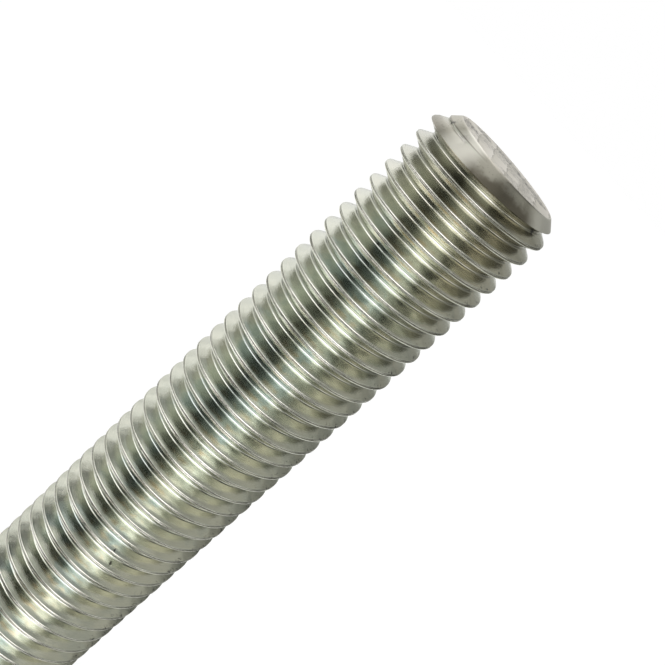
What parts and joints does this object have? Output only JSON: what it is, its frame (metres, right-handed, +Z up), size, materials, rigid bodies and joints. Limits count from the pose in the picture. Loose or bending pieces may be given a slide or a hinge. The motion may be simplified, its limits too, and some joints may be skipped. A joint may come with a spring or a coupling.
{
  "type": "threaded rod",
  "caption": "Short length of zinc-plated steel threaded rod with a right-hand metric thread over its whole length and chamfered ends, one of them sheared slightly out of square.",
  "frame": {"origin": "on the rod's axis in the plane of its square lower end, on which it stands", "axes": "+Z up the rod's axis towards the sheared end, whose low side lies 33 degrees round from +X towards +Y"},
  "size_m": [0.0158, 0.0158, 0.1203],
  "materials": {
    "zinc_plate": "bright zinc plating, faintly olive and blue, over rolled steel"
  },
  "bodies": {
    "root": {"threaded_rod": "zinc_plate"}
  },
  "joints": []
}
